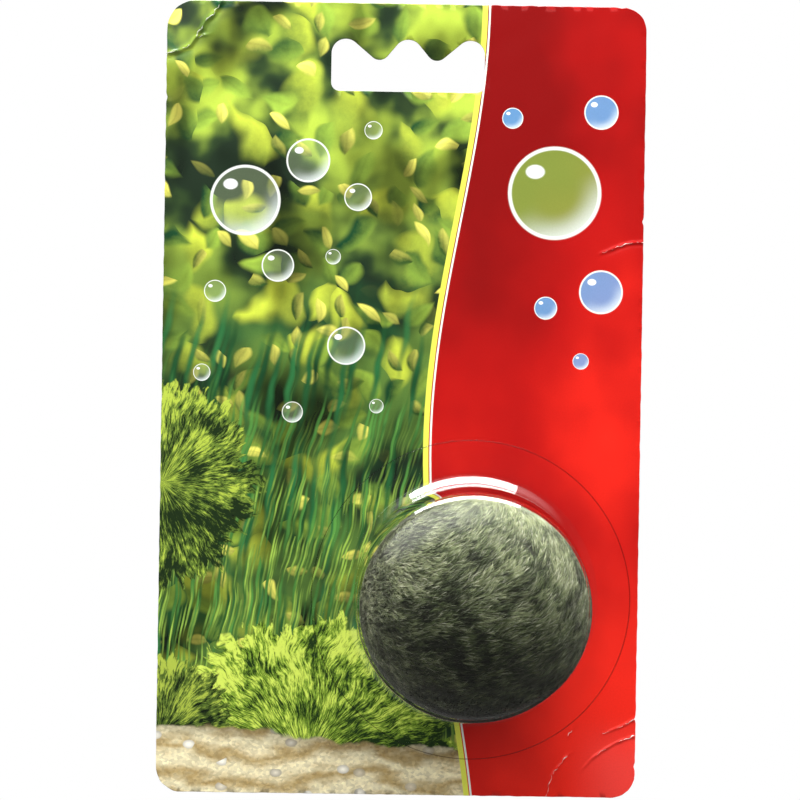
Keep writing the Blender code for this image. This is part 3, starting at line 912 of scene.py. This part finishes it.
def print_material():
    """The card's printed face: water plants over rippled sand, with a plain red field at the right."""
    s = Shader("card_print")
    x, _, z = s.place()
    flat = s.vector(x, z)
    warp_x = s.noise(x / 16 + 2.0, z / 16 + 5.0) - 0.5
    warp_z = s.noise(x / 16 + 31.0, z / 16 + 12.0) - 0.5
    cloud = s.noise(x / 21 + 3.1, z / 21, detail=3)
    grain = s.noise(x / 1.7 + 9.0, z / 1.7, detail=3, rough=0.6)
    high = z.step(-80, 0)  # brighter water towards the top

    def leaves(under, size, seed, soft, half, dark, light, share, lean=0.0, spin=1.0, vein=0.25):
        """A scatter of pointed leaves, one to a cell; share is how many cells keep theirs."""
        u = (x + warp_x * size * 1.2) / size + seed
        v = (z + warp_z * size * 1.2) / size + seed * 1.7
        made = s.node("ShaderNodeTexVoronoi", voronoi_dimensions="2D", feature="F1")
        s.link(s.vector(u, v), made.inputs["Vector"])
        made.inputs["Scale"].default_value = 1.0
        made.inputs["Randomness"].default_value = 0.8
        middle, colour = s.node("ShaderNodeSeparateXYZ"), s.node("ShaderNodeSeparateColor")
        s.link(made.outputs["Position"], middle.inputs[0])
        s.link(made.outputs["Color"], colour.inputs[0])
        r, g, b = (Term(s.tree, colour.outputs[i]) for i in range(3))
        dx, dz = u - Term(s.tree, middle.outputs[0]), v - Term(s.tree, middle.outputs[1])
        a = (r - 0.5) * (spin * math.pi) + lean
        c, sn = a.cos(), a.sin()
        across, along = dx * c + dz * sn, dz * c - dx * sn
        across = across + along * along * (b - 0.5) * 0.9  # each leaf bends its own way
        wide = (1 - along * along * 4.0) * half
        mask = (wide - across.abs()).step(-soft, soft) * g.step(1 - share, 1 - share + 0.1)
        tone = (b * 0.7 + across * (1.1 / half) * 0.22 + along * 0.5 + grain * 0.25).clamp()
        rib = across.abs().step(0.0, 0.035 + soft * 0.5)
        leaf = s.scale(s.mix(tone, dark, light), rib * vein + (1 - vein))
        return s.mix(mask, under, leaf)

    # the far planting, out of focus
    art = s.mix(cloud.step(0.36, 0.64), (0.010, 0.020, 0.010), (0.075, 0.150, 0.030))
    art = s.mix(high * cloud.step(0.42, 0.62) * 0.9, art, (0.40, 0.52, 0.055))
    blue = s.noise(x / 30 + 8.0, z / 17 + 4.0, detail=2)
    art = s.mix(blue.step(0.52, 0.72) * z.step(-35, -75) * 0.7, art, (0.020, 0.115, 0.035))
    art = leaves(art, 11.0, 3.3, 0.16, 0.30, (0.020, 0.070, 0.020), (0.52, 0.60, 0.055), 0.75, spin=0.9, lean=0.6, vein=0.0)
    art = leaves(art, 7.5, 7.7, 0.11, 0.27, (0.008, 0.045, 0.016), (0.28, 0.42, 0.050), 0.70, spin=1.1, lean=-0.5, vein=0.1)
    art = leaves(art, 5.0, 12.9, 0.07, 0.24, (0.030, 0.070, 0.015), (0.78, 0.74, 0.130), 0.42, spin=1.0, lean=0.3, vein=0.15)
    dim = s.noise(x / 15 + 60.0, z / 22 + 41.0, detail=2)
    art = s.scale(art, dim.step(0.28, 0.58) * (high * 0.35 + 0.85) + 0.32)

    # tall grass that leans to the right as it rises
    def grass(under, width, tall, seed, lean, low, top, crisp, dark, light):
        across = (x - (z + 150) * (z + 150) * lean * 0.001 + warp_x * 3.0) / width + seed
        along = (z + warp_z * 2.0) / tall + seed * 0.37
        blade, (r, g, b) = s.cells(across, along, randomness=0.9)
        mask = blade.step(0.50, 0.50 - crisp) * g.step(0.25, 0.4) * z.step(top, top - 26) * z.step(low, low + 6)
        lit = s.noise(across * 0.35 + 3.0, along * 2.6, detail=2)
        tone = (r * 0.75 + lit.step(0.30, 0.72) * 0.45 - 0.08).clamp()
        return s.mix(mask, under, s.scale(s.mix(tone, dark, light), (1 - blade) * 0.9 + 0.35))

    art = grass(art, 2.3, 30.0, 5.0, 1.1, -160, -44, 0.42, (0.006, 0.035, 0.012), (0.030, 0.170, 0.050))
    art = grass(art, 1.1, 19.0, 21.0, 1.9, -160, -60, 0.34, (0.014, 0.060, 0.016), (0.090, 0.270, 0.050))
    art = grass(art, 0.62, 13.0, 43.0, 2.4, -160, -76, 0.30, (0.030, 0.085, 0.018), (0.300, 0.470, 0.070))

    # two cushions of fine-leaved plants with threads that fan out from their roots
    def cushion(under, cx, cz, radius, seed, flat, dark, mid, light):
        dx, dz = x - cx, (z - cz) * flat
        r = (dx * dx + dz * dz).sqrt()
        a = dx.atan2(dz) + (s.noise(x / 9 + seed, z / 9, detail=2) - 0.5) * 0.22
        fan = s.noise(a * (radius * 0.55) + seed, r * 0.22 + seed, detail=3, rough=0.6)
        fine = s.noise(a * (radius * 1.7) + seed, r * 0.50, detail=3, rough=0.75)
        lump = s.noise(x / 6.5 + seed, z / 6.5, detail=2)
        edge = (s.noise(a * 2.1 + seed, a * 0.0 + seed, detail=3, rough=0.7) - 0.5) * (radius * 0.55) + (fan - 0.5) * 9 + radius * 0.94
        mask = (edge - r).step(-0.5, 0.6)
        light_side = (dz * 0.9 - dx * 0.35) / radius * 0.45 + 0.5
        tone = (light_side * 0.75 + (lump - 0.5) * 1.5 + (fan - 0.5) * 1.5 + (fine - 0.5) * 2.2).clamp()
        body = s.mix(tone.step(0.10, 0.55), dark, mid)
        body = s.mix(tone.step(0.50, 0.95), body, light)
        return s.mix(mask, under, body)

    art = cushion(art, -50, -93, 20, 4.0, 0.9, (0.012, 0.026, 0.008), (0.130, 0.210, 0.030), (0.46, 0.58, 0.070))
    art = cushion(art, -19, -151, 33, 17.0, 1.05, (0.014, 0.034, 0.008), (0.190, 0.330, 0.030), (0.66, 0.80, 0.120))
    art = cushion(art, -50, -146, 17, 29.0, 1.0, (0.010, 0.020, 0.006), (0.090, 0.150, 0.024), (0.40, 0.50, 0.065))

    # rippled sand along the bottom
    shore = z + 145.5 + (x * 0.065 + 1.4).sin() * 2.2 + (s.noise(x / 5 + 2.0, z / 5, detail=3) - 0.5) * 3.4
    ripple = ((z * 1.05 + (x * 0.16).sin() * 1.6 + s.noise(x / 9, z / 4, detail=3) * 7.5).sin() * 0.5 + 0.5)
    speck, (sr, sg, sb) = s.cells(x / 0.62, z / 0.50)
    stone, (tr, tg, tb) = s.cells(x / 3.6 + 5.0, z / 2.6 + 2.0)
    sand = s.mix((ripple * 0.75 + grain * 0.35).clamp(), (0.40, 0.26, 0.075), (0.95, 0.86, 0.56))
    sand = s.scale(sand, sr * 0.35 + 0.80)
    pale = s.mix((tb * 0.8 + (0.5 - stone) * 0.7).clamp(), (0.40, 0.33, 0.20), (0.94, 0.90, 0.78))
    sand = s.mix(stone.step(0.40, 0.30) * tr.step(0.78, 0.84), sand, s.scale(pale, (0.5 - stone) * 1.3 + 0.55))
    sand = s.scale(sand, shore.step(2.0, -5.0) * 0.6 + 0.4)
    art = s.mix(shore.step(0.4, -0.4), art, sand)

    # the red field, its soft clouding and its pale edge; towards the bottom the field is painted lighter, painted light
    # that makes up for the lamps' falloff and the drum's shadow there, and it is also lighter to the right and darker
    # level with the ball
    edge = x - 11 - ((z + 38) / 30).sin() * 5.5
    haze = s.noise(x / 34 + 1.0, z / 46 + 7.0, detail=2) * 0.7 + s.noise(x / 13 + 50.0, z / 16, detail=2) * 0.3
    red_clouding_and_painted_light = (haze - 0.5) * 1.0 + z.step(10, -150) * 0.78 + x.step(14, 46) * 0.30 - (z + 112).abs().step(32, 4) * 0.42 - 0.02
    red = s.mix(red_clouding_and_painted_light.step(0.0, 0.50), (0.24, 0.0040, 0.004), (0.46, 0.0070, 0.006))
    red = s.mix(red_clouding_and_painted_light.step(0.40, 1.0), red, (0.95, 0.024, 0.012))
    art = s.mix(edge.step(-0.10, 0.10), art, red)
    art = s.mix((edge + 0.55).abs().step(0.62, 0.50), art, (0.80, 0.84, 0.10))
    art = s.mix((edge - 0.42).abs().step(0.24, 0.16), art, (0.86, 0.90, 0.82))

    # bubbles that rise past the plants and over the red field: the nearest one is drawn at each point
    spot_at, size_at, near_at = s.vector(9.0, 9.0), None, None
    for cx, cz, radius in (
        (-33.5, -34.0, 7.4), (-20.5, -25.5, 4.6), (-10.0, -33.0, 2.9), (-26.5, -47.5, 3.4), (-7.0, -19.0, 1.9),
        (-39.5, -53.0, 2.3), (-15.0, -45.5, 1.6), (-42.0, -70.0, 1.8), (-12.0, -64.0, 4.0), (-23.0, -78.0, 2.2),
        (-5.5, -76.5, 1.5), (31.0, -31.5, 9.8), (40.5, -14.5, 3.6), (22.0, -16.0, 2.2), (41.0, -52.0, 4.6),
        (29.5, -55.5, 2.4), (37.0, -66.5, 1.7),
    ):
        made = s.node("ShaderNodeVectorMath", operation="MULTIPLY_ADD")
        s.link(flat, made.inputs[0])
        made.inputs[1].default_value = (1 / radius, 1 / radius, 0.0)
        made.inputs[2].default_value = (-cx / radius, -cz / radius, 0.0)
        gauge = s.node("ShaderNodeVectorMath", operation="LENGTH")
        s.link(made.outputs[0], gauge.inputs[0])
        away = Term(s.tree, gauge.outputs["Value"])
        if near_at is None:
            spot_at, near_at = made.outputs[0], away
            size_at = away.const(radius)
            continue
        nearer = away.op("LESS_THAN", near_at)
        pick = s.node("ShaderNodeMix", data_type="VECTOR")
        s.link(nearer, pick.inputs[0])
        s.link(spot_at, pick.inputs[4])
        s.link(made.outputs[0], pick.inputs[5])
        spot_at = pick.outputs[1]
        size_at = size_at + (radius - size_at) * nearer
        near_at = near_at.min(away)
    parts = s.node("ShaderNodeSeparateXYZ")
    s.link(spot_at, parts.inputs[0])
    dx, dz, r = Term(s.tree, parts.outputs[0]), Term(s.tree, parts.outputs[1]), near_at
    over_red = edge.step(-0.1, 0.1)
    body = s.mix(over_red, (0.55, 0.70, 0.40), (0.095, 0.36, 0.66))
    body = s.mix(over_red * size_at.op("GREATER_THAN", 9.0), body, (0.20, 0.33, 0.055))
    filled_in = (1.0 - r).step(0.0, 0.06)
    lower = (dx * 0.45 - dz * 0.75).step(-0.1, 0.9) * r.step(0.35, 0.95)
    art = s.mix(filled_in * (over_red * 0.66 + 0.13), art, body)
    art = s.mix(filled_in * lower * 0.65, art, (0.86, 0.93, 0.92))
    art = s.mix((r - 0.955).abs().step(0.055, 0.02) * 0.85, art, (0.92, 0.95, 0.90))
    glint = ((dx + 0.42) * (dx + 0.42) * 2.2 + (dz - 0.45) * (dz - 0.45) * 4.0).sqrt()
    art = s.mix(glint.step(0.34, 0.24), art, (0.95, 0.97, 0.95))

    # a painted sheen over the bent corner, where its gloss catches the light, and a fine print grain
    corner_sheen = ((x - 34).step(0, 12) * z.step(-139, -152))
    art = s.mix(corner_sheen * 0.045, art, (0.9, 0.75, 0.72))
    art = s.scale(art, (s.noise(x / 0.35, z / 0.35, detail=1) - 0.5) * 0.10 + 1.0)
    s.set(Base_Color=art, Roughness=0.2, Specular_IOR_Level=0.45)
    return s.mat


# -------------------------------------------------------- build all the pieces
board = board_material()
card = build_card(print_material(), board)
cracks = build_cracks(paper_material())
# The flange is bonded to the print, so it hardly reflects; its cut edge and the drum do.
blister = build_blister(clear_material("clear_plastic", 1.55, 0.012), clear_material("clear_plastic_bonded", 1.09, 0.02),
                        # the cut edge is tinted grey: painted shade that draws a dark line round the flange
                        clear_material("clear_plastic_edge_painted_shade", 1.25, 0.10, (0.50, 0.48, 0.48)))
moss = build_moss(moss_materials())


# ----------------------------------------------------------------- the setting
def stage_floor():
    s = Shader("floor")
    coords = s.node("ShaderNodeTexCoord")
    parts = s.node("ShaderNodeSeparateXYZ")
    s.link(coords.outputs["Object"], parts.inputs[0])
    x, y = (Term(s.tree, parts.outputs[i]) for i in range(2))
    r = (x * x + y * y).sqrt()
    s.set(Base_Color=(0.80, 0.80, 0.79), Roughness=0.9, Specular_IOR_Level=0.2)
    clear = s.node("ShaderNodeBsdfTransparent")
    both = s.node("ShaderNodeMixShader")
    s.link(r.step(0.30, 0.60), both.inputs[0])
    s.link(s.bsdf.outputs[0], both.inputs[1])
    s.link(clear.outputs[0], both.inputs[2])
    s.link(both.outputs[0], s.tree.nodes["Material Output"].inputs[0])
    a = np.linspace(0, 2 * math.pi, 96, endpoint=False)
    ring = np.stack([620 * np.cos(a), 620 * np.sin(a), np.zeros(96)], axis=1)
    mesh = make_mesh("floor", ring, np.arange(96), [96], smooth=False)
    obj = add_object(mesh, [s.mat], ride=False)
    obj.location = (0, 0, -0.225)
    # seen by the camera only, so that it throws no light up on the pack
    obj.visible_diffuse = obj.visible_glossy = obj.visible_transmission = False
    obj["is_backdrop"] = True


stage_floor()


def world():
    w = bpy.data.worlds.new("studio")
    bpy.context.scene.world = w
    w.use_nodes = True
    tree = w.node_tree
    back = tree.nodes["Background"]
    rays = tree.nodes.new("ShaderNodeLightPath")
    coords = tree.nodes.new("ShaderNodeTexCoord")
    parts = tree.nodes.new("ShaderNodeSeparateXYZ")
    tree.links.new(coords.outputs["Generated"], parts.inputs[0])
    behind = Term(tree, parts.outputs[1]).step(-0.3, 0.2)
    # reflections find a pale ceiling above the pack and a pale table below it
    up, low = Term(tree, parts.outputs[2]), Term(tree, parts.outputs[2]) * -1.0 - Term(tree, parts.outputs[0]) * 0.4
    mirror = Term(tree, rays.outputs["Is Glossy Ray"])
    softbox = Term(tree, parts.outputs[0]) * -0.13 - Term(tree, parts.outputs[1]) * 0.93 + up * 0.34
    above = mirror * (up.step(0.55, 0.95) * 1.8 + low.step(0.25, 0.95) * 0.3 + softbox.step(0.955, 0.995) * 1.7)
    seen = Term(tree, rays.outputs["Is Camera Ray"])
    soft = Term(tree, rays.outputs["Is Diffuse Ray"])
    # a white sweep behind the pack, a dim room in front of it
    clear = Term(tree, rays.outputs["Is Transmission Ray"])
    room = soft * FILL_SOFT + (1 - soft) * FILL_GLOSS + above
    # light that has only run along inside one skin of the plastic stays dim; the view through both skins is white
    both = Term(tree, rays.outputs["Transmission Depth"]).step(2.4, 3.4)
    sweep = soft * 0.4 + clear * both * 0.9 + FILL_GLOSS
    level = seen + (1 - seen) * (behind * sweep + (1 - behind) * room)
    tree.links.new(level.socket, back.inputs["Strength"])
    back.inputs["Color"].default_value = (1.0, 1.0, 1.0, 1.0)


def lamp(name, centre, target, size, radiance):
    """A rectangular soft lamp of the given radiance."""
    data = bpy.data.lights.new(name, "AREA")
    data.shape = "RECTANGLE"
    data.size, data.size_y = size
    data.energy = radiance * math.pi * size[0] * size[1]
    obj = bpy.data.objects.new(name, data)
    obj.location = centre
    obj.rotation_euler = (Vector(target) - Vector(centre)).to_track_quat("-Z", "Y").to_euler()
    obj.visible_camera = False
    bpy.context.scene.collection.objects.link(obj)
    return obj


world()
# Overhead softbox: x -0.52..0.33 from the dome, y -0.55..0.25
lamp("key", (0.0148 - 0.07, -0.15, -0.117 + 0.90), (0.0148 - 0.07, -0.1499, -0.117), (0.96, 0.70), KEY)

# Two high side lamps soften the shadow under the drum. They leave no reflection in the plastic.
for name, side in (("left", -1), ("right", 1)):
    fill = lamp(name, (0.0148 + side * 0.70, -0.52, -0.117 + 0.66), (0.0, 0.0, -0.09), (0.45, 0.45), 8.0)
    fill.visible_glossy = fill.visible_transmission = False

scene = bpy.context.scene
scene.view_settings.view_transform = "Standard"
scene.view_settings.look = "None"
scene.view_settings.exposure = 0.0
scene.view_settings.gamma = 1.0

camera_data = bpy.data.cameras.new("camera")
camera_data.sensor_width = 36.0
camera_data.lens = 216.0
camera_data.clip_start = 0.01
camera_data.clip_end = 20.0
camera_data.dof.use_dof = False
camera = bpy.data.objects.new("camera", camera_data)
scene.collection.objects.link(camera)
turn = (
    Matrix.Rotation(math.radians(-0.91), 3, "Y")
    @ Matrix.Rotation(math.radians(-0.392), 3, "X")
    @ Matrix.Rotation(math.radians(-1.099), 3, "Z")
)
right, forward, up = turn.col[0], turn.col[1], turn.col[2]
facing = Matrix((right, up, -forward)).transposed()
camera.matrix_world = Matrix.Translation(Vector((-19.9, -1001.3, -68.6)) * MM) @ facing.to_4x4()
scene.camera = camera

{"at_load": size_at_load, "at_finish": plain(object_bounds())}
